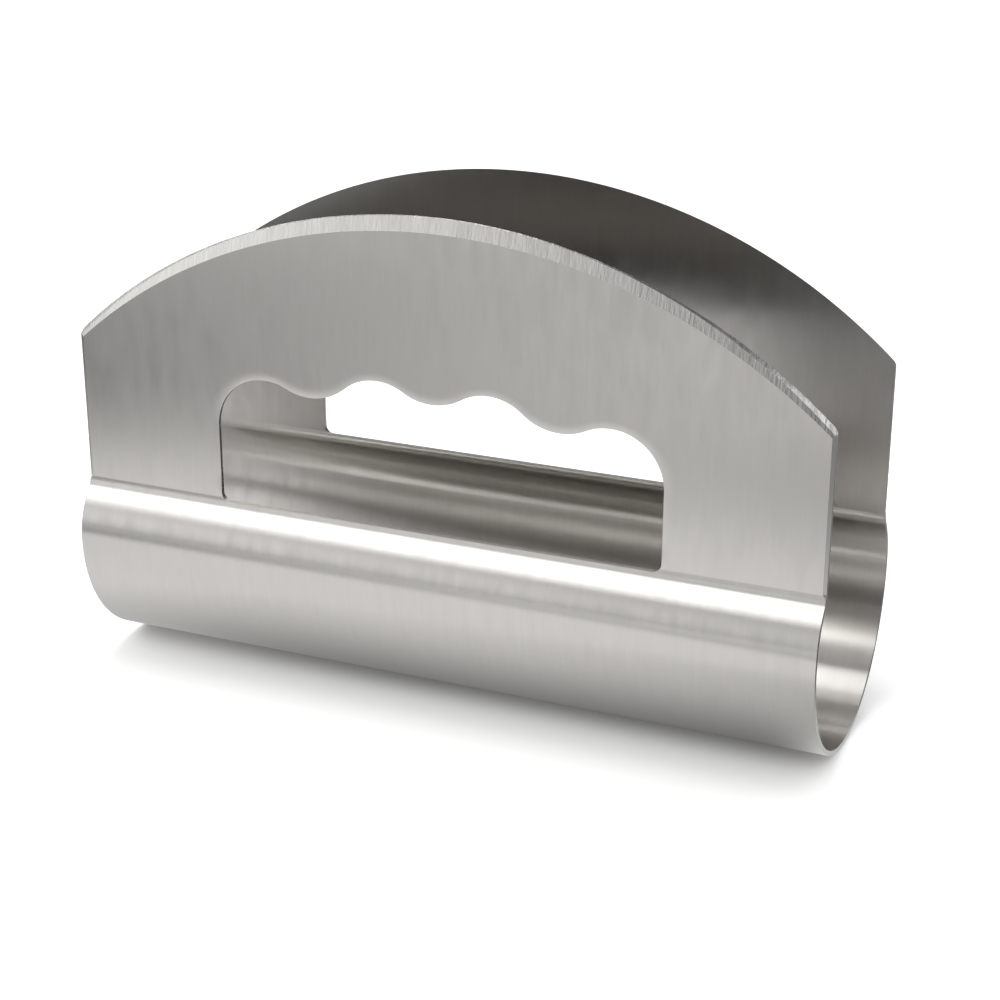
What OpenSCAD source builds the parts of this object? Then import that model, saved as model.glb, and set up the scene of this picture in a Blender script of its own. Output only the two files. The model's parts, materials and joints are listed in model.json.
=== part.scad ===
// Double-bladed mezzaluna, folded from one strip of stainless steel sheet.
// The middle of the strip is rolled into an open tube, which is the grip.
// Above the tube each side turns in over a shoulder and rises as a flat blade.
// X runs along the tube, Y across the blades and Z up from the tube's underside.

/* [Strip] */
// Length of the folded strip, which is also the length of the tube
strip_length = 160; // [130:1:180]
// Thickness of the sheet
sheet_t = 1; // [0.8:0.1:1.5]

/* [Grip tube] */
// Outer radius of the rolled tube
tube_r = 28; // [25:0.5:31]
// Angle above the tube's middle at which each side leaves its round
wrap_rise = 3; // [0:1:8]

/* [Shoulders] */
// Outer radius of each shoulder, where the sheet turns in above the tube
shoulder_r = 15.5; // [12:0.5:20]
// Outer radius of the bend from each shoulder up into its blade
bend_r = 4; // [2:0.5:6]

/* [Blades] */
// Distance across the outer faces of the two blades
blades_across = 46.5; // [40:0.5:50]
// Height of each blade at the middle, from its bend to the cutting edge
blade_h = 63.1; // [55:0.1:75]
// Height of each blade at its ends, from its bend to the cutting edge
blade_end_h = 31.85; // [25:0.05:45]
// Radius of the round corner at each end of the cutting edge
edge_corner_r = 2; // [1:0.5:4]

/* [Grind] */
// Height of the ground bevel at the middle of the blade
bevel_h = 3; // [2:0.1:5]
// Height of the ground bevel at the ends of the blade
bevel_end_h = 1.95; // [1.5:0.05:3]
// Thickness that the bevel leaves at the middle, for the honed facet
hone_land = 0.08; // [0.04:0.01:0.2]
// Angle between the honed facet and the blade's inner face
hone_angle = 45; // [35:1:60]
// Width of the chamfer on the outer corner of each upright end
end_chamfer_w = 0.75; // [0.3:0.05:1.5]
// Depth of that chamfer, into the sheet
end_chamfer_t = 0.4; // [0.2:0.05:0.6]

/* [Finger openings] */
// Width of the opening in each blade
opening_w = 95.7; // [85:0.1:105]
// Depth to which the opening runs below the blade, into the bend
opening_sink = 0.9; // [0.2:0.1:1.5]
// Radius of the opening's lower corners
opening_corner_r = 1.75; // [1.6:0.05:5]
// Radius of the lobes along the top, one for each finger
lobe_r = 11; // [9.5:0.5:12]
// Radius of the bumps between the lobes
bump_r = 12; // [6:0.5:16]
// Distance between the middles of the two inner lobes
inner_lobe_pitch = 23.8; // [20:0.1:28]
// Height of the tops of the two inner lobes above the bend
inner_lobe_h = 29.5; // [24:0.1:34]
// Height of the tops of the two outer lobes above the bend
outer_lobe_h = 26.4; // [22:0.1:32]

/* [Hidden] */

// Facets of a full circle: the lobes and bends, and the long edge arcs
$fn = 120;
arc_fn = 360;
// Length by which cutters run past what they cut
overrun = 2;
// Arcs that flow into each other reach this far past touching, so that they cross
arc_overlap = 0.001;

half_length = strip_length / 2;
blade_face_y = blades_across / 2;
blade_back_y = blade_face_y - sheet_t;

// Middle of the shoulder's turn: inside the tube, so that the two arcs meet in line
shoulder_y = (tube_r - shoulder_r) * cos(wrap_rise);
shoulder_z = tube_r + (tube_r - shoulder_r) * sin(wrap_rise);
// Middle of the bend: outside the blade, where its arc flows into the shoulder's
bend_y = blade_face_y + bend_r;
bend_rise = sqrt(pow(shoulder_r + bend_r - arc_overlap, 2) - pow(bend_y - shoulder_y, 2));
// The blades stand on this level, where the bends end
blade_foot_z = shoulder_z + bend_rise;

// Radius of an arc that falls by this drop from the middle of the blade to its ends
function arch_radius(drop) = (pow(half_length, 2) + pow(drop, 2)) / (2 * drop);

edge_r = arch_radius(blade_h - blade_end_h);
edge_centre_h = blade_h - edge_r;
bevel_r = arch_radius((blade_h - bevel_h) - (blade_end_h - bevel_end_h));
bevel_centre_h = blade_h - bevel_h - bevel_r;
// How far each ground cone widens through the sheet, from outer to inner face
bevel_spread = bevel_h * sheet_t / (sheet_t - hone_land);
hone_spread = sheet_t / tan(hone_angle);

// Middles of the lobes, from one side of the opening to the other
outer_lobe = [opening_w / 2 - lobe_r, outer_lobe_h - lobe_r];
inner_lobe = [inner_lobe_pitch / 2, inner_lobe_h - lobe_r];
lobes = [
    [-outer_lobe.x, outer_lobe.y],
    [-inner_lobe.x, inner_lobe.y],
    inner_lobe,
    outer_lobe,
];

// Middle of the bump that touches the lobes around points a and b from above
function bump_centre(a, b) =
    let (half_gap = (b - a) / 2)
    let (rise = sqrt(pow(lobe_r + bump_r - arc_overlap, 2) - pow(norm(half_gap), 2)))
    a + half_gap + rise * [-half_gap.y, half_gap.x] / norm(half_gap);

bumps = [for (i = [1 : len(lobes) - 1]) bump_centre(lobes[i - 1], lobes[i])];

// Turns what is drawn with Y and Z as its plane to lie along the whole strip
module along_strip() {
    rotate([90, 0, 90])
        translate([0, 0, -half_length])
            children();
}

// What the rear side's turn and bend enclose towards the middle, less a skin
module enclosed_by_shoulder(skin) {
    translate([shoulder_y, shoulder_z])
        circle(shoulder_r - skin);
    difference() {
        polygon([
            [shoulder_y, shoulder_z],
            [bend_y, blade_foot_z],
            [bend_y, blade_foot_z + overrun],
            [shoulder_y, blade_foot_z + overrun],
        ]);
        translate([bend_y, blade_foot_z])
            circle(bend_r + skin);
    }
}

// Section of the rear shoulder, from the tube's end up to the blade's foot
module shoulder_section() {
    reach = shoulder_r + overrun;
    intersection() {
        difference() {
            enclosed_by_shoulder(0);
            enclosed_by_shoulder(sheet_t);
        }
        polygon([
            [shoulder_y, shoulder_z],
            [shoulder_y + reach * cos(wrap_rise), shoulder_z + reach * sin(wrap_rise)],
            [shoulder_y + reach * cos(wrap_rise), blade_foot_z],
            [shoulder_y, blade_foot_z],
        ]);
    }
}

// Opening for the fingers, seen square to the blade, with its bend at height zero
module opening_outline() {
    straight_base = opening_corner_r - opening_sink;
    difference() {
        polygon([
            [-opening_w / 2, straight_base],
            [opening_w / 2, straight_base],
            [opening_w / 2, outer_lobe.y],
            lobes[3],
            bumps[2],
            lobes[2],
            bumps[1],
            lobes[1],
            bumps[0],
            lobes[0],
            [-opening_w / 2, outer_lobe.y],
        ]);
        for (bump = bumps)
            translate(bump)
                circle(bump_r);
    }
    for (lobe = lobes)
        translate(lobe)
            circle(lobe_r);
    translate([opening_corner_r - opening_w / 2, -opening_sink])
        square([opening_w - 2 * opening_corner_r, 2 * opening_corner_r]);
    for (side = [-1, 1])
        translate([side * (opening_w / 2 - opening_corner_r), straight_base])
            circle(opening_corner_r);
}

// What lies outside the round corner at the right end of the cutting edge
module edge_corner_waste() {
    corner_x = half_length - edge_corner_r;
    corner_rise = sqrt(pow(edge_r - edge_corner_r + arc_overlap, 2) - pow(corner_x, 2));
    corner = [corner_x, edge_centre_h + corner_rise];
    outward = [corner_x, corner_rise] / (edge_r - edge_corner_r);
    past_edge = corner + (edge_corner_r + 2 * overrun) * outward;
    past_end = half_length + overrun;
    difference() {
        polygon([corner, past_edge, [past_end, past_edge.y], [past_end, corner.y]]);
        translate(corner)
            circle(edge_corner_r);
    }
}

// Outline of a blade before grinding, with its bend at height zero.
// It stands proud of the cutting edge by one overrun, which the grind takes off.
module blade_outline() {
    difference() {
        intersection() {
            translate([0, edge_centre_h])
                circle(edge_r + overrun, $fn = arc_fn);
            translate([-half_length, 0])
                square([strip_length, blade_h + 2 * overrun]);
        }
        for (side = [0, 1])
            mirror([side, 0])
                edge_corner_waste();
    }
}

// Cone on an axis across the blade, with this radius at the inner face.
// Towards the outer face it narrows by spread in one sheet thickness.
module ground_cone(centre_h, inner_r, spread) {
    extra = spread * overrun / sheet_t;
    translate([0, centre_h, -overrun])
        cylinder(
            h = sheet_t + 2 * overrun,
            r1 = inner_r + extra,
            r2 = inner_r - spread - extra,
            $fn = arc_fn
        );
}

// Takes the outer corner off the upright end of a blade, at the right
module end_chamfer() {
    translate([half_length, blade_h, sheet_t])
        rotate([90, 0, 0])
            linear_extrude(blade_h)
                polygon([
                    [-2 * end_chamfer_w, end_chamfer_t],
                    [end_chamfer_w, -2 * end_chamfer_t],
                    [end_chamfer_w, end_chamfer_t],
                ]);
}

// A blade lying on its inner face, with its bend along X
module flat_blade() {
    difference() {
        intersection() {
            linear_extrude(sheet_t)
                blade_outline();
            ground_cone(bevel_centre_h, bevel_r + bevel_spread, bevel_spread);
            ground_cone(edge_centre_h, edge_r, hone_spread);
        }
        translate([0, 0, -overrun])
            linear_extrude(sheet_t + 2 * overrun)
                opening_outline();
        for (side = [0, 1])
            mirror([side, 0, 0])
                end_chamfer();
    }
}

// Stands what is drawn flat on the front blade's inner face, at its bend
module stand_in_front() {
    translate([0, -blade_back_y, blade_foot_z])
        rotate([90, 0, 0])
            children();
}

// Rolled grip, open along its top between the shoulders and at both ends
module grip_tube() {
    color("silver")
        along_strip()
            translate([0, tube_r])
                rotate_extrude(angle = 180 + 2 * wrap_rise, start = 180 - wrap_rise)
                    translate([tube_r - sheet_t, 0])
                        square([sheet_t, strip_length]);
}

// Turns in above the tube, then bends upright under the front blade
module front_shoulder() {
    color("silver")
        difference() {
            mirror([0, 1, 0])
                along_strip()
                    linear_extrude(strip_length)
                        shoulder_section();
            stand_in_front()
                translate([0, 0, -overrun])
                    linear_extrude(tube_r + overrun)
                        opening_outline();
        }
}

module rear_shoulder() {
    mirror([0, 1, 0])
        front_shoulder();
}

// Flat blade with a ground, arched cutting edge and an opening for four fingers
module front_blade() {
    color("silver")
        stand_in_front()
            flat_blade();
}

module rear_blade() {
    mirror([0, 1, 0])
        front_blade();
}

grip_tube();
front_shoulder();
rear_shoulder();
front_blade();
rear_blade();
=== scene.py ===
"""Double-bladed mezzaluna, folded from one strip of brushed stainless steel.

The middle of the strip is rolled into the grip tube. On each side it turns in
over a shoulder and rises as a flat blade with an arched, ground cutting edge.
"""

import json
from math import atan2, cos, hypot, pi, radians, sin, sqrt

import bpy
from mathutils import Matrix, Vector

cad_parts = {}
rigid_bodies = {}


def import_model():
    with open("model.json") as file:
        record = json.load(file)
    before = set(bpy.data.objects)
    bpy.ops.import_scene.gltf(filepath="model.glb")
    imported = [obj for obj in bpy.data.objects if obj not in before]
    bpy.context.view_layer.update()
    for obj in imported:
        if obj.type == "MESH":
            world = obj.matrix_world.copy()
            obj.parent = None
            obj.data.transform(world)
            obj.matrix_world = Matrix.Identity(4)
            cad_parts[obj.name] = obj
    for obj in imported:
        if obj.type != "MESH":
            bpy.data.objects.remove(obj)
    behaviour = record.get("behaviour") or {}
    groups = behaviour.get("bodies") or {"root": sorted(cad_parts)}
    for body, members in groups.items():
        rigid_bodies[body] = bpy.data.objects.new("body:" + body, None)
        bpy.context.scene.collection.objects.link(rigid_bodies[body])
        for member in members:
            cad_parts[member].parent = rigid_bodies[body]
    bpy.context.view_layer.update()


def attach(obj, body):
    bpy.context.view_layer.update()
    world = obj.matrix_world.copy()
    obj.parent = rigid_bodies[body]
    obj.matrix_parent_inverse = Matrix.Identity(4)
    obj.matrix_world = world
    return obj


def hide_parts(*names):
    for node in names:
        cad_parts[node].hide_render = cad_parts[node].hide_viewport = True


for leftover in list(bpy.data.objects):
    bpy.data.objects.remove(leftover)
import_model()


# Grip tube
# The middle of the steel strip, rolled to an open round for the palm. It is
# bare 1 mm sheet, open at both ends and along its top between the blades, and
# its grain runs round it, as on the rest of the strip.

half_length = 0.080
sheet = 0.001
tube_radius = 0.028
side_lift = radians(3)              # each side leaves the round this far above its middle
tube_start = pi - side_lift         # where the front side does so
tube_turn = pi + 2 * side_lift
edge_break = 0.00008                # corners of the cut sheet, dulled by hand
sharp_corner = radians(50)          # a fold past this is a corner to dull
rolled_fold = radians(12)           # a fold short of this is part of a curve
facing = 0.6                        # share of its normal by which a face looks one way
same_point = 1e-7                   # points nearer than this are joined
same_line = 1e-6                    # an edge nearer than this lies on the line
across_sheet = 0.9 * sheet          # an edge this long runs through the sheet


def deselect_everything():
    if bpy.context.mode != "OBJECT":
        bpy.ops.object.mode_set(mode="OBJECT")
    bpy.ops.object.select_all(action="DESELECT")


def take(piece):
    """Selects one piece alone."""
    deselect_everything()
    piece.select_set(True)
    bpy.context.view_layer.objects.active = piece


def edit(piece):
    """Opens one piece in edit mode with nothing selected on it."""
    take(piece)
    bpy.ops.object.mode_set(mode="EDIT")
    bpy.ops.mesh.select_mode(type="VERT")
    bpy.ops.mesh.select_all(action="DESELECT")


def pick_edges(piece, where, sharper_than):
    """Selects edges in edit mode by the places of their ends and by their fold."""
    bpy.ops.mesh.select_mode(type="EDGE")
    bpy.ops.mesh.select_all(action="DESELECT")
    bpy.ops.object.mode_set(mode="OBJECT")
    sides = {}
    for face in piece.data.polygons:
        for key in face.edge_keys:
            sides.setdefault(key, []).append(face.normal)
    places = [vertex.co for vertex in piece.data.vertices]
    for edge in piece.data.edges:
        fold = sides[edge.key][0].angle(sides[edge.key][-1])
        ends = (places[i] for i in edge.vertices)
        edge.select = fold > sharper_than and where(*ends)
    bpy.ops.object.mode_set(mode="EDIT")


def pick_faces(piece, where):
    """Selects the faces of a piece in edit mode by their middle and normal."""
    bpy.ops.mesh.select_mode(type="FACE")
    bpy.ops.mesh.select_all(action="DESELECT")
    bpy.ops.object.mode_set(mode="OBJECT")
    for face in piece.data.polygons:
        face.select = where(face.center, face.normal)
    bpy.ops.object.mode_set(mode="EDIT")


def sheared_end(name, middle_y, middle_z, radius, angle):
    """A cut across the strip, 160 mm long and one sheet thick, to roll from."""
    deselect_everything()
    bpy.ops.mesh.primitive_plane_add(
        size=1,
        location=(0, middle_y + radius * cos(angle), middle_z + radius * sin(angle)),
        rotation=(angle, 0, 0),
    )
    piece = bpy.context.object
    piece.name = piece.data.name = name
    piece.scale = (2 * half_length, sheet, 1)
    bpy.ops.object.transform_apply(location=True, rotation=True, scale=True)
    edit(piece)
    bpy.ops.mesh.select_all(action="SELECT")
    return piece


def roll(middle_y, middle_z, turn, steps):
    """Carries the selected cut on round this middle, as in a bending press."""
    bpy.ops.mesh.spin(
        steps=steps, angle=-turn, center=(0, middle_y, middle_z), axis=(1, 0, 0)
    )


def close_up():
    """Joins the seams of the open piece and turns every face outwards."""
    bpy.ops.mesh.select_mode(type="VERT")
    bpy.ops.mesh.select_all(action="SELECT")
    bpy.ops.mesh.remove_doubles(threshold=same_point)
    bpy.ops.mesh.normals_make_consistent(inside=False)


def along_an_end(a, b):
    """Edges that run along the section at either end, but not through the sheet."""
    at_one_end = min(abs(a.x), abs(b.x)) > half_length - same_line and a.x * b.x > 0
    return at_one_end and (a - b).length < across_sheet


def dull(piece, where):
    """Breaks the sharp corners along the edges that this picks."""
    pick_edges(piece, where, sharp_corner)
    bpy.ops.mesh.bevel(
        offset=edge_break, segments=2, affect="EDGES", clamp_overlap=False
    )


def steel_finish(name, colour, roughness, anisotropy, grain, depth, contrast):
    """Bare stainless steel whose grain runs square to the strip's length."""
    grain_width, grain_length = grain
    patch_width, patch_length = 0.0025, 0.009
    noise_low, noise_high = 0.3, 0.7
    steel = bpy.data.materials.new(name)
    steel.use_nodes = True
    nodes, links = steel.node_tree.nodes, steel.node_tree.links
    shader = nodes["Principled BSDF"]
    shader.inputs["Metallic"].default_value = 1
    shader.inputs["Anisotropic"].default_value = anisotropy
    place = nodes.new("ShaderNodeTexCoord")

    def streaks(width, length, detail):
        """Noise drawn out along the grain, this wide and long in metres."""
        stretch = nodes.new("ShaderNodeMapping")
        stretch.inputs["Scale"].default_value = (1 / width, 1 / length, 1 / length)
        links.new(place.outputs["Object"], stretch.inputs["Vector"])
        noise = nodes.new("ShaderNodeTexNoise")
        noise.inputs["Scale"].default_value = 1
        noise.inputs["Detail"].default_value = detail
        links.new(stretch.outputs["Vector"], noise.inputs["Vector"])
        return noise.outputs["Fac"]

    def mixed(one, other, share):
        """Two noises in one, with this share of the second."""
        both = nodes.new("ShaderNodeMix")
        both.inputs["Factor"].default_value = share
        links.new(one, both.inputs["A"])
        links.new(other, both.inputs["B"])
        return both.outputs["Result"]

    def between(value, low, high):
        """A noise's usual range, carried over to this one."""
        ranged = nodes.new("ShaderNodeMapRange")
        ranged.inputs["From Min"].default_value = noise_low
        ranged.inputs["From Max"].default_value = noise_high
        ranged.inputs["To Min"].default_value = low
        ranged.inputs["To Max"].default_value = high
        links.new(value, ranged.inputs["Value"])
        return ranged.outputs["Result"]

    fine = streaks(grain_width, grain_length, detail=2)
    coarse = streaks(5 * grain_width, 2 * grain_length, detail=1)
    brushing = mixed(fine, coarse, share=0.4)
    patches = streaks(patch_width, patch_length, detail=2)
    mottled = mixed(brushing, patches, share=0.5)
    tone = nodes.new("ShaderNodeMix")
    tone.data_type = "RGBA"
    tone.inputs["A"].default_value = (*((1 - contrast) * c for c in colour), 1)
    tone.inputs["B"].default_value = (*((1 + contrast) * c for c in colour), 1)
    links.new(between(mottled, 0, 1), tone.inputs["Factor"])
    links.new(tone.outputs["Result"], shader.inputs["Base Color"])
    links.new(between(patches, 0.9 * roughness, 1.1 * roughness), shader.inputs["Roughness"])
    bump = nodes.new("ShaderNodeBump")
    bump.inputs["Strength"].default_value = 1
    bump.inputs["Distance"].default_value = depth
    links.new(brushing, bump.inputs["Height"])
    links.new(bump.outputs["Normal"], shader.inputs["Normal"])
    along = nodes.new("ShaderNodeCombineXYZ")
    along.inputs["X"].default_value = 1
    links.new(along.outputs["Vector"], shader.inputs["Tangent"])
    return steel


brushed = steel_finish(
    "brushed_sheet", (0.668, 0.65, 0.625), roughness=0.32, anisotropy=1.0,
    grain=(0.00018, 0.006), depth=0.0000015, contrast=0.05,
)
cut_edge = steel_finish(
    "cut_edge", (0.34, 0.34, 0.34), roughness=0.28, anisotropy=0.0,
    grain=(0.00025, 0.004), depth=0.000004, contrast=0.10,
)


def cut_end(middle, normal):
    """Faces at the strip's two cut ends, with their dulled corners."""
    return abs(normal.x) > facing


def dress(piece, node, details):
    """Lays the finishes on, smooths what is rolled and puts the piece in place."""
    piece.data.materials.append(brushed)
    for finish, _ in details:
        piece.data.materials.append(finish)
    edit(piece)
    for number, (_, where) in enumerate(details, 1):
        pick_faces(piece, where)
        piece.active_material_index = number
        bpy.ops.object.material_slot_assign()
    take(piece)
    bpy.ops.object.shade_smooth_by_angle(angle=rolled_fold)
    bpy.ops.object.modifier_add(type="WEIGHTED_NORMAL")
    piece.modifiers["WeightedNormal"].keep_sharp = True
    bpy.ops.object.modifier_apply(modifier="WeightedNormal")
    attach(piece, "root")
    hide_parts(node)


grip_tube = sheared_end("rolled_grip", 0, tube_radius, tube_radius - sheet / 2, tube_start)
roll(0, tube_radius, tube_turn, steps=124)
close_up()
dull(grip_tube, along_an_end)
dress(grip_tube, "grip_tube", [(cut_edge, cut_end)])


# Shoulders
# Above the tube each side of the strip turns in, then bends up into its blade.
# Both bends are pressed in the same sheet, and the finger opening is cut a
# little way down into the upper one.

shoulder_radius = 0.0155
shoulder_y = (tube_radius - shoulder_radius) * cos(side_lift)
shoulder_z = tube_radius + (tube_radius - shoulder_radius) * sin(side_lift)
bend_radius = 0.004
blade_face = 0.02325                # outer face of each blade from the middle plane
blade_back = blade_face - sheet
bend_y = blade_face + bend_radius
arc_overlap = 0.000001              # the two bends cross by this much where they meet
bend_rise = sqrt(
    (shoulder_radius + bend_radius - arc_overlap) ** 2 - (bend_y - shoulder_y) ** 2
)
blade_foot = shoulder_z + bend_rise
bend_turn = atan2(bend_rise, bend_y - shoulder_y)

opening_half = 0.04785
opening_sink = 0.0009               # the opening goes down this far below the blade's foot
opening_base = blade_foot - opening_sink
opening_corner = 0.00175
lobe_radius = 0.011
bump_radius = 0.012
lobe_centres = [
    Vector((x, blade_foot + top - lobe_radius))
    for x, top in (
        (-0.03685, 0.0264), (-0.0119, 0.0295), (0.0119, 0.0295), (0.03685, 0.0264)
    )
]
stand_off = 0.002                   # the punch starts this far in front of the blade
bend_travel = 0.010                 # and goes this far to come out behind the bend
outline_weld = 2e-6                 # the outline's own ends meet within this

chamfer_width = 0.00075             # on the outer corner of the blades' upright ends
chamfer_depth = 0.0004
run_out = 0.001


def bump_between(a, b):
    """Middle of the bump that touches two neighbouring lobes from above."""
    half_gap = (b - a) / 2
    rise = sqrt((lobe_radius + bump_radius) ** 2 - half_gap.length_squared)
    return a + half_gap + rise * Vector((-half_gap.y, half_gap.x)).normalized()


def angle_to(a, b):
    return atan2(b.y - a.y, b.x - a.x)


def start_line(name, x, y, z):
    """A single point, drawn on as an outline in the blade's plane."""
    deselect_everything()
    bpy.ops.mesh.primitive_plane_add(size=0.001, location=(x, y, z))
    piece = bpy.context.object
    piece.name = piece.data.name = name
    bpy.ops.object.transform_apply(location=True, rotation=True, scale=True)
    edit(piece)
    bpy.ops.mesh.select_all(action="SELECT")
    bpy.ops.mesh.merge(type="CENTER")
    bpy.ops.mesh.select_all(action="SELECT")
    return piece


def line_by(x, z):
    bpy.ops.mesh.extrude_region_move(TRANSFORM_OT_translate={"value": (x, 0, z)})


def arc_round(centre, turn, step=radians(2)):
    """Draws on round this centre; a positive turn goes from X towards Z."""
    bpy.ops.mesh.spin(
        steps=max(2, round(abs(turn) / step)), angle=turn,
        center=(centre[0], 0, centre[1]), axis=(0, 1, 0),
    )


def opening_punch(rim):
    """Outline of a finger opening, drawn this much wider than the opening."""
    reach = opening_half + rim
    corner_x = opening_half - opening_corner
    corner_z = opening_base + opening_corner
    upright_steps = 12
    rise = (lobe_centres[0].y - corner_z) / upright_steps
    punch = start_line("opening_punch", -reach, -blade_face - stand_off, corner_z)
    for _ in range(upright_steps):
        line_by(0, rise)
    heading = pi
    for here, there in zip(lobe_centres, lobe_centres[1:]):
        bump = bump_between(here, there)
        arc_round(here, angle_to(here, bump) - heading)
        heading = angle_to(there, bump)
        arc_round(bump, heading - angle_to(here, bump))
    arc_round(lobe_centres[-1], -heading)
    for _ in range(upright_steps):
        line_by(0, -rise)
    arc_round((corner_x, corner_z), -pi / 2, step=radians(9))
    line_by(-2 * corner_x, 0)
    arc_round((-corner_x, corner_z), -pi / 2, step=radians(9))
    bpy.ops.mesh.select_all(action="SELECT")
    bpy.ops.mesh.remove_doubles(threshold=outline_weld)
    bpy.ops.mesh.edge_face_add()
    bpy.ops.object.mode_set(mode="OBJECT")
    turned_in = punch.data.polygons[0].normal.y > 0
    bpy.ops.object.mode_set(mode="EDIT")
    if turned_in:
        bpy.ops.mesh.flip_normals()
    return punch


def push(depth):
    """Pushes the selected face straight into the blade by this much."""
    bpy.ops.mesh.extrude_region_move(TRANSFORM_OT_translate={"value": (0, depth, 0)})


def cut(piece, tool, operation):
    """Shapes a piece with a tool, which is then put away."""
    take(piece)
    bpy.ops.object.modifier_add(type="BOOLEAN")
    shaping = piece.modifiers["Boolean"]
    shaping.object, shaping.operation, shaping.solver = tool, operation, "EXACT"
    bpy.ops.object.modifier_apply(modifier="Boolean")
    bpy.data.objects.remove(tool)


def rear_twin(piece, name):
    """The rear side's copy of a front piece, with its own mesh."""
    take(piece)
    bpy.ops.object.duplicate()
    twin = bpy.context.object
    twin.name = twin.data.name = name
    twin.scale = (1, -1, 1)
    bpy.ops.object.transform_apply(location=True, rotation=True, scale=True)
    edit(twin)
    bpy.ops.mesh.select_all(action="SELECT")
    bpy.ops.mesh.normals_make_consistent(inside=False)
    return twin


front_shoulder = sheared_end(
    "front_shoulder_bend", -shoulder_y, shoulder_z, shoulder_radius - sheet / 2, tube_start
)
roll(-shoulder_y, shoulder_z, pi - bend_turn - tube_start, steps=36)
roll(-bend_y, blade_foot, bend_turn, steps=30)
close_up()
dull(front_shoulder, along_an_end)

punch = opening_punch(0)
push(bend_travel)
close_up()
cut(front_shoulder, punch, "DIFFERENCE")

# A wedge at each end begins the blades' chamfers, which run out down the bends
run_out_y = bend_y - sqrt(bend_radius ** 2 - run_out ** 2)
for side in (-1, 1):
    start = Vector((side * (half_length - chamfer_width), -blade_face, blade_foot))
    across = Vector((side * chamfer_width, chamfer_depth, 0))
    down = Vector((side * half_length, -run_out_y, blade_foot - run_out)) - start
    outwards = side * down.cross(across).normalized()
    deselect_everything()
    bpy.ops.mesh.primitive_cube_add(
        size=2 * run_out, location=(side * half_length, -blade_face, blade_foot - run_out / 2)
    )
    wedge = bpy.context.object
    bpy.ops.object.transform_apply(location=True, rotation=True, scale=True)
    edit(wedge)
    bpy.ops.mesh.select_all(action="SELECT")
    bpy.ops.mesh.bisect(
        plane_co=start, plane_no=-outwards,
        use_fill=True, clear_outer=True, threshold=same_point,
    )
    cut(front_shoulder, wedge, "DIFFERENCE")
edit(front_shoulder)
close_up()

rear_shoulder = rear_twin(front_shoulder, "rear_shoulder_bend")
dress(front_shoulder, "front_shoulder", [(cut_edge, cut_end)])
dress(rear_shoulder, "rear_shoulder", [(cut_edge, cut_end)])


# Blades
# The strip's two ends stand up as flat blades, one on each side of the chop.
# Each has an arched edge ground from its outer face, an opening with four
# finger lobes punched through it, and its upright corners chamfered.

edge_radius = 0.118025
edge_height = 0.0631                # of the cutting edge's middle above the blade's foot
edge_centre = blade_foot + edge_height - edge_radius
bevel_radius = 0.12106
bevel_height = 0.0601               # of the bevel's lower line there
bevel_centre = blade_foot + bevel_height - bevel_radius
bevel_spread = 3.2608696            # the bevel widens by this through one sheet
hone_spread = 1.0
tip_radius = 0.002
spare = 0.002                       # left on the blank for the grinding

tip_x = half_length - tip_radius
tip_z = edge_centre + sqrt((edge_radius - tip_radius) ** 2 - tip_x ** 2)
tip_angle = atan2(tip_z - edge_centre, tip_x)

rim_width = 0.0024                  # the scallops' rim is rolled in over this width
rim_depth = 0.00014
rim_start = 0.0005                  # it begins this far above the blade's foot
rim_fade = 0.004                    # and grows to its full depth over this height
skin = 0.000003                     # the punch's first step stays this far off the face
rim_zone = 0.0005                   # its points this near the face roll the rim
blade_travel = 0.004                # it comes out behind the blade by going on this far

bevel_margin = 0.0001               # a ground face may reach this far past the bevel's line
back_margin = 0.00001               # and stays this far off the inner face


def ground_cone(centre, inner_radius, spread):
    """What a grinding wheel leaves: a cone that narrows towards the outer face."""
    extra = spread * spare
    deselect_everything()
    bpy.ops.mesh.primitive_cone_add(
        vertices=720, depth=sheet + 2 * spare,
        radius1=inner_radius + extra, radius2=inner_radius - spread * sheet - extra,
        location=(0, -blade_back - sheet / 2, centre), rotation=(pi / 2, 0, 0),
    )
    cone = bpy.context.object
    bpy.ops.object.transform_apply(location=True, rotation=True, scale=True)
    return cone


def opening_or_end(a, b):
    """Edges of the opening's wall and of the upright ends, but not of the foot."""
    top = max(a.z, b.z)
    return blade_foot + same_line < top < tip_z + same_line


def cut_side(middle, normal):
    """Faces cut straight through the sheet, with their dulled corners."""
    return cut_end(middle, normal) or abs(normal.y) < facing


def ground_side(middle, normal):
    """Faces of the bevel and of the fine facet along the cutting edge."""
    from_centre = hypot(middle.x, middle.z - bevel_centre)
    return from_centre > bevel_radius - bevel_margin and abs(middle.y) > blade_back + back_margin


front_blade = start_line("front_blade_leaf", -half_length, -blade_back, blade_foot)
line_by(0, tip_z - blade_foot)
arc_round((-tip_x, tip_z), -tip_angle, step=radians(6))
line_by(-spare * cos(tip_angle), spare * sin(tip_angle))
arc_round((0, edge_centre), 2 * tip_angle - pi)
line_by(-spare * cos(tip_angle), -spare * sin(tip_angle))
arc_round((tip_x, tip_z), -tip_angle, step=radians(6))
line_by(0, blade_foot - tip_z)
bpy.ops.mesh.select_all(action="SELECT")
bpy.ops.mesh.edge_face_add()
push(-sheet)
close_up()
for side in (-1, 1):
    bpy.ops.mesh.select_all(action="SELECT")
    bpy.ops.mesh.bisect(
        plane_co=(side * (half_length - chamfer_width), -blade_face, 0),
        plane_no=Vector((side * chamfer_depth, -chamfer_width, 0)).normalized(),
        use_fill=True, clear_outer=True, threshold=same_point,
    )
bevel_foot = bevel_radius + bevel_spread * sheet
cut(front_blade, ground_cone(bevel_centre, bevel_foot, bevel_spread), "INTERSECT")
cut(front_blade, ground_cone(edge_centre, edge_radius, hone_spread), "INTERSECT")

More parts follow.
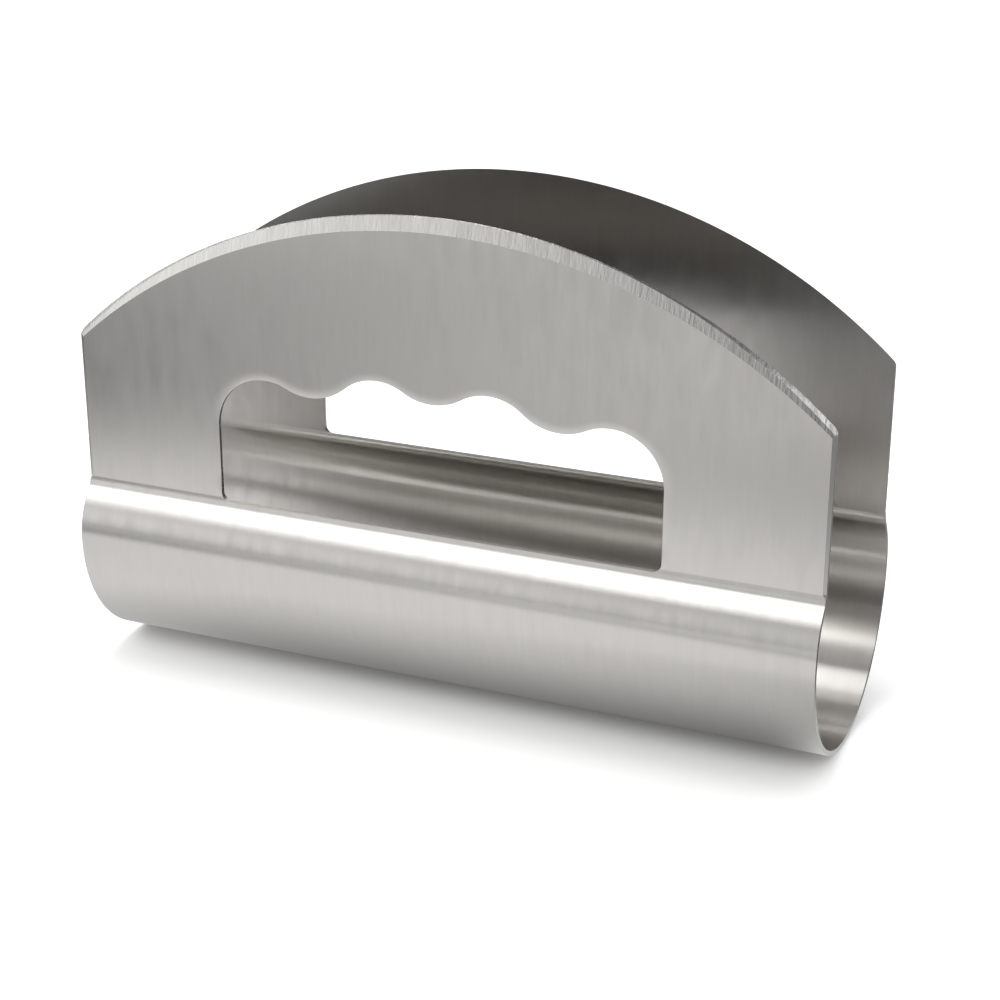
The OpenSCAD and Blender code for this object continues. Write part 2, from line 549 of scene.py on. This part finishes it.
# The punch rolls the rim in by ever deeper steps, then goes through the sheet
punch = opening_punch(rim_width)
push(stand_off - skin)
out_of_rim, sunk = 1.0, -skin
for share in (0.8, 0.6, 0.4, 0.2, 0.06, 0):
    depth = rim_depth * (1 - share) ** 2
    bpy.ops.mesh.inset(thickness=(out_of_rim - share) * rim_width, depth=sunk - depth)
    out_of_rim, sunk = share, depth
push(blade_travel)
close_up()
bpy.ops.object.mode_set(mode="OBJECT")
for vertex in punch.data.vertices:
    above_foot = min(max((vertex.co.z - blade_foot - rim_start) / rim_fade, 0), 1)
    fade = above_foot ** 2 * (3 - 2 * above_foot)
    if abs(vertex.co.y + blade_face) < rim_zone:
        vertex.co.y = fade * vertex.co.y - (1 - fade) * (blade_face + skin)
cut(front_blade, punch, "DIFFERENCE")
edit(front_blade)
close_up()
dull(front_blade, opening_or_end)
close_up()

ground = steel_finish(
    "ground_bevel", (0.56, 0.55, 0.53), roughness=0.26, anisotropy=0.8,
    grain=(0.0005, 0.003), depth=0.00010, contrast=0.12,
)
rear_blade = rear_twin(front_blade, "rear_blade_leaf")
dress(front_blade, "front_blade", [(cut_edge, cut_side), (ground, ground_side)])
dress(rear_blade, "rear_blade", [(cut_edge, cut_side), (ground, ground_side)])


# Table, light and camera
# A white table top, four soft boxes in a softly glowing room, and a camera
# a little above the tool and to the right of its front blade. The table carries
# painted pools of light that only the metal's reflections show, and a painted
# shadow that the camera sees next to the tool.

table_size = 6
painted_shadow_reach = 0.03                     # the painted contact shadow on the table reaches this far from the tool
shine = 0.8                         # to the camera it shines by this much
dimmed = 0.3                        # and its own white is darker by this much
painted_mirror_pools = (                  # painted pools of light: place, width, depth and brightness, as the metal sees them
    (-0.05, -0.095, 0.15, 0.037, 1.5),
    (0.03, -0.27, 0.10, 0.08, 0.85),
    (-0.12, -0.61, 0.28, 0.19, 1.4),
    (-0.20, -1.40, 0.60, 0.40, 1.5),
    (0, -0.035, 0.12, 0.015, 0.35),
    (-0.10, -0.01, 0.03, 0.03, 0.5),
    (0.088, -0.002, 0.007, 0.014, 1.8),
)
# Painted pools of light on the table behind the tool, in the same columns
painted_pools_behind = (
    (-0.02, 0.09, 0.09, 0.037, 1.1),
    (0, 0.27, 0.25, 0.09, 0.85),
    (0, 0.65, 0.40, 0.20, 1.0),
)

deselect_everything()
bpy.ops.mesh.primitive_plane_add(size=table_size, location=(0, 0, 0))
table = bpy.context.object
table.name = table.data.name = "table_top"
# Its material holds the painted pools of light and the painted contact shadow
white = bpy.data.materials.new("white_table_with_painted_light")
white.use_nodes = True
nodes, links = white.node_tree.nodes, white.node_tree.links
shader = nodes["Principled BSDF"]
shader.inputs["Roughness"].default_value = 0.9
shader.inputs["Specular IOR Level"].default_value = 0
shader.inputs["Emission Color"].default_value = (1, 1, 1, 1)
path = nodes.new("ShaderNodeLightPath")
place = nodes.new("ShaderNodeTexCoord")


def sums(operation, a, b):
    """One arithmetic node on two sockets or plain values."""
    step = nodes.new("ShaderNodeMath")
    step.operation = operation
    for socket, value in zip(step.inputs, (a, b)):
        if isinstance(value, (int, float)):
            socket.default_value = value
        else:
            links.new(value, socket)
    return step.outputs["Value"]


def pool(x, y, width, depth, brightness):
    """A painted pool of light on the table, which only the metal's reflections show."""
    offset = nodes.new("ShaderNodeMapping")
    offset.inputs["Location"].default_value = (-x / width, -y / depth, 0)
    offset.inputs["Scale"].default_value = (1 / width, 1 / depth, 1)
    links.new(place.outputs["Object"], offset.inputs["Vector"])
    away = nodes.new("ShaderNodeVectorMath")
    away.operation = "DOT_PRODUCT"
    links.new(offset.outputs["Vector"], away.inputs[0])
    links.new(offset.outputs["Vector"], away.inputs[1])
    fading = sums("EXPONENT", sums("MULTIPLY", away.outputs["Value"], -0.5), 0)
    return sums("MULTIPLY", fading, brightness)


def all_pools(spots):
    """Several painted pools of light together, which add up where they overlap."""
    total = pool(*spots[0])
    for spot in spots[1:]:
        total = sums("ADD", total, pool(*spot))
    return total


# The painted pools behind show once in the rear side, but not again between the blades
first_bounce = sums("LESS_THAN", path.outputs["Glossy Depth"], 1.5)
painted_behind_once = sums("MULTIPLY", all_pools(painted_pools_behind), first_bounce)
# Painted pools of light, as bright as white at most, are what the metal mirrors of the table
painted_reflection = nodes.new("ShaderNodeEmission")
painted_pool_glow = sums("MINIMUM", sums("ADD", all_pools(painted_mirror_pools), painted_behind_once), 1)
links.new(painted_pool_glow, painted_reflection.inputs["Strength"])
# The camera sees the table lifted to white, but less so close to the tool, which paints a shadow
# there
seen = path.outputs["Is Camera Ray"]
links.new(sums("SUBTRACT", 1, sums("MULTIPLY", seen, dimmed)), shader.inputs["Base Color"])
painted_contact_shadow = nodes.new("ShaderNodeAmbientOcclusion")
painted_contact_shadow.inputs["Distance"].default_value = painted_shadow_reach
lift_with_painted_shadow = sums("MULTIPLY", painted_contact_shadow.outputs["AO"], shine)
links.new(sums("MULTIPLY", seen, lift_with_painted_shadow), shader.inputs["Emission Strength"])
either = nodes.new("ShaderNodeMixShader")
links.new(path.outputs["Is Glossy Ray"], either.inputs["Fac"])
links.new(shader.outputs["BSDF"], either.inputs[1])
links.new(painted_reflection.outputs["Emission"], either.inputs[2])
links.new(either.outputs["Shader"], nodes["Material Output"].inputs["Surface"])
table.data.materials.append(white)

box_distance = 0.9
box_aim = Vector((0, 0, 0.05))


def heading(azimuth, elevation):
    """Direction this many degrees round to the right from the front, and up."""
    a, e = radians(azimuth), radians(elevation)
    return Vector((sin(a) * cos(e), -cos(a) * cos(e), sin(e)))


def soft_box(name, direction, width, height, brightness):
    """A soft box of this even brightness, facing the tool."""
    deselect_everything()
    bpy.ops.object.light_add(type="AREA", location=box_aim + direction * box_distance)
    lamp = bpy.context.object
    lamp.name = lamp.data.name = name
    lamp.rotation_euler = direction.to_track_quat("Z", "Y").to_euler()
    lamp.data.shape = "RECTANGLE"
    lamp.data.size, lamp.data.size_y = width, height
    lamp.data.energy = brightness * width * height * pi


soft_box("top_box", heading(-78, 77), width=0.42, height=0.30, brightness=5.0)
soft_box("front_box", heading(-38, 44), width=0.95, height=0.40, brightness=2.7)
soft_box("back_box", heading(-163, 46), width=0.40, height=0.16, brightness=4.2)
soft_box("side_box", heading(48, 38), width=0.30, height=0.30, brightness=2.5)

world = bpy.data.worlds.new("studio")
bpy.context.scene.world = world
world.use_nodes = True
nodes, links = world.node_tree.nodes, world.node_tree.links
background = nodes["Background"]
background.inputs["Color"].default_value = (1, 1, 1, 1)
path = nodes.new("ShaderNodeLightPath")
place = nodes.new("ShaderNodeTexCoord")
dim_room = 0.12


def glow(direction, tightness, brightness):
    """A soft glow of the room round this direction."""
    towards = nodes.new("ShaderNodeVectorMath")
    towards.operation = "DOT_PRODUCT"
    towards.inputs[1].default_value = direction
    links.new(place.outputs["Generated"], towards.inputs[0])
    fading = sums("POWER", sums("MAXIMUM", towards.outputs["Value"], 0), tightness)
    return sums("MULTIPLY", fading, brightness)


from_behind = glow(heading(180, 45), tightness=10, brightness=0.8)
from_front = glow(heading(-28, 5), tightness=8, brightness=1.2)
from_left = glow(heading(-72, 14), tightness=16, brightness=2.2)
room = sums("ADD", sums("ADD", from_behind, from_front), from_left)
room = sums("ADD", room, dim_room)
links.new(sums("MAXIMUM", room, path.outputs["Is Camera Ray"]), background.inputs["Strength"])

camera_azimuth = radians(23.1955)
camera_elevation = radians(21.1015)
camera_roll = radians(0.1327)
camera_distance = 0.43207
camera_aim = Vector((0.004617, 0, 0.040431))
lens_share = 2.08756                # focal length over the sensor's width
sensor_width = 36
back = Vector((
    sin(camera_azimuth) * cos(camera_elevation),
    -cos(camera_azimuth) * cos(camera_elevation),
    sin(camera_elevation),
))
right = Vector((cos(camera_azimuth), sin(camera_azimuth), 0))
level = Matrix((right, back.cross(right), back)).transposed()
turned = Matrix.Rotation(camera_roll, 3, back) @ level
deselect_everything()
bpy.ops.object.camera_add()
camera = bpy.context.object
camera.name = camera.data.name = "camera"
camera.matrix_world = Matrix.Translation(camera_aim + camera_distance * back) @ turned.to_4x4()
camera.data.sensor_width = sensor_width
camera.data.lens = lens_share * sensor_width
camera.data.clip_start, camera.data.clip_end = 0.01, 20
bpy.context.scene.camera = camera
bpy.context.scene.view_settings.view_transform = "Standard"
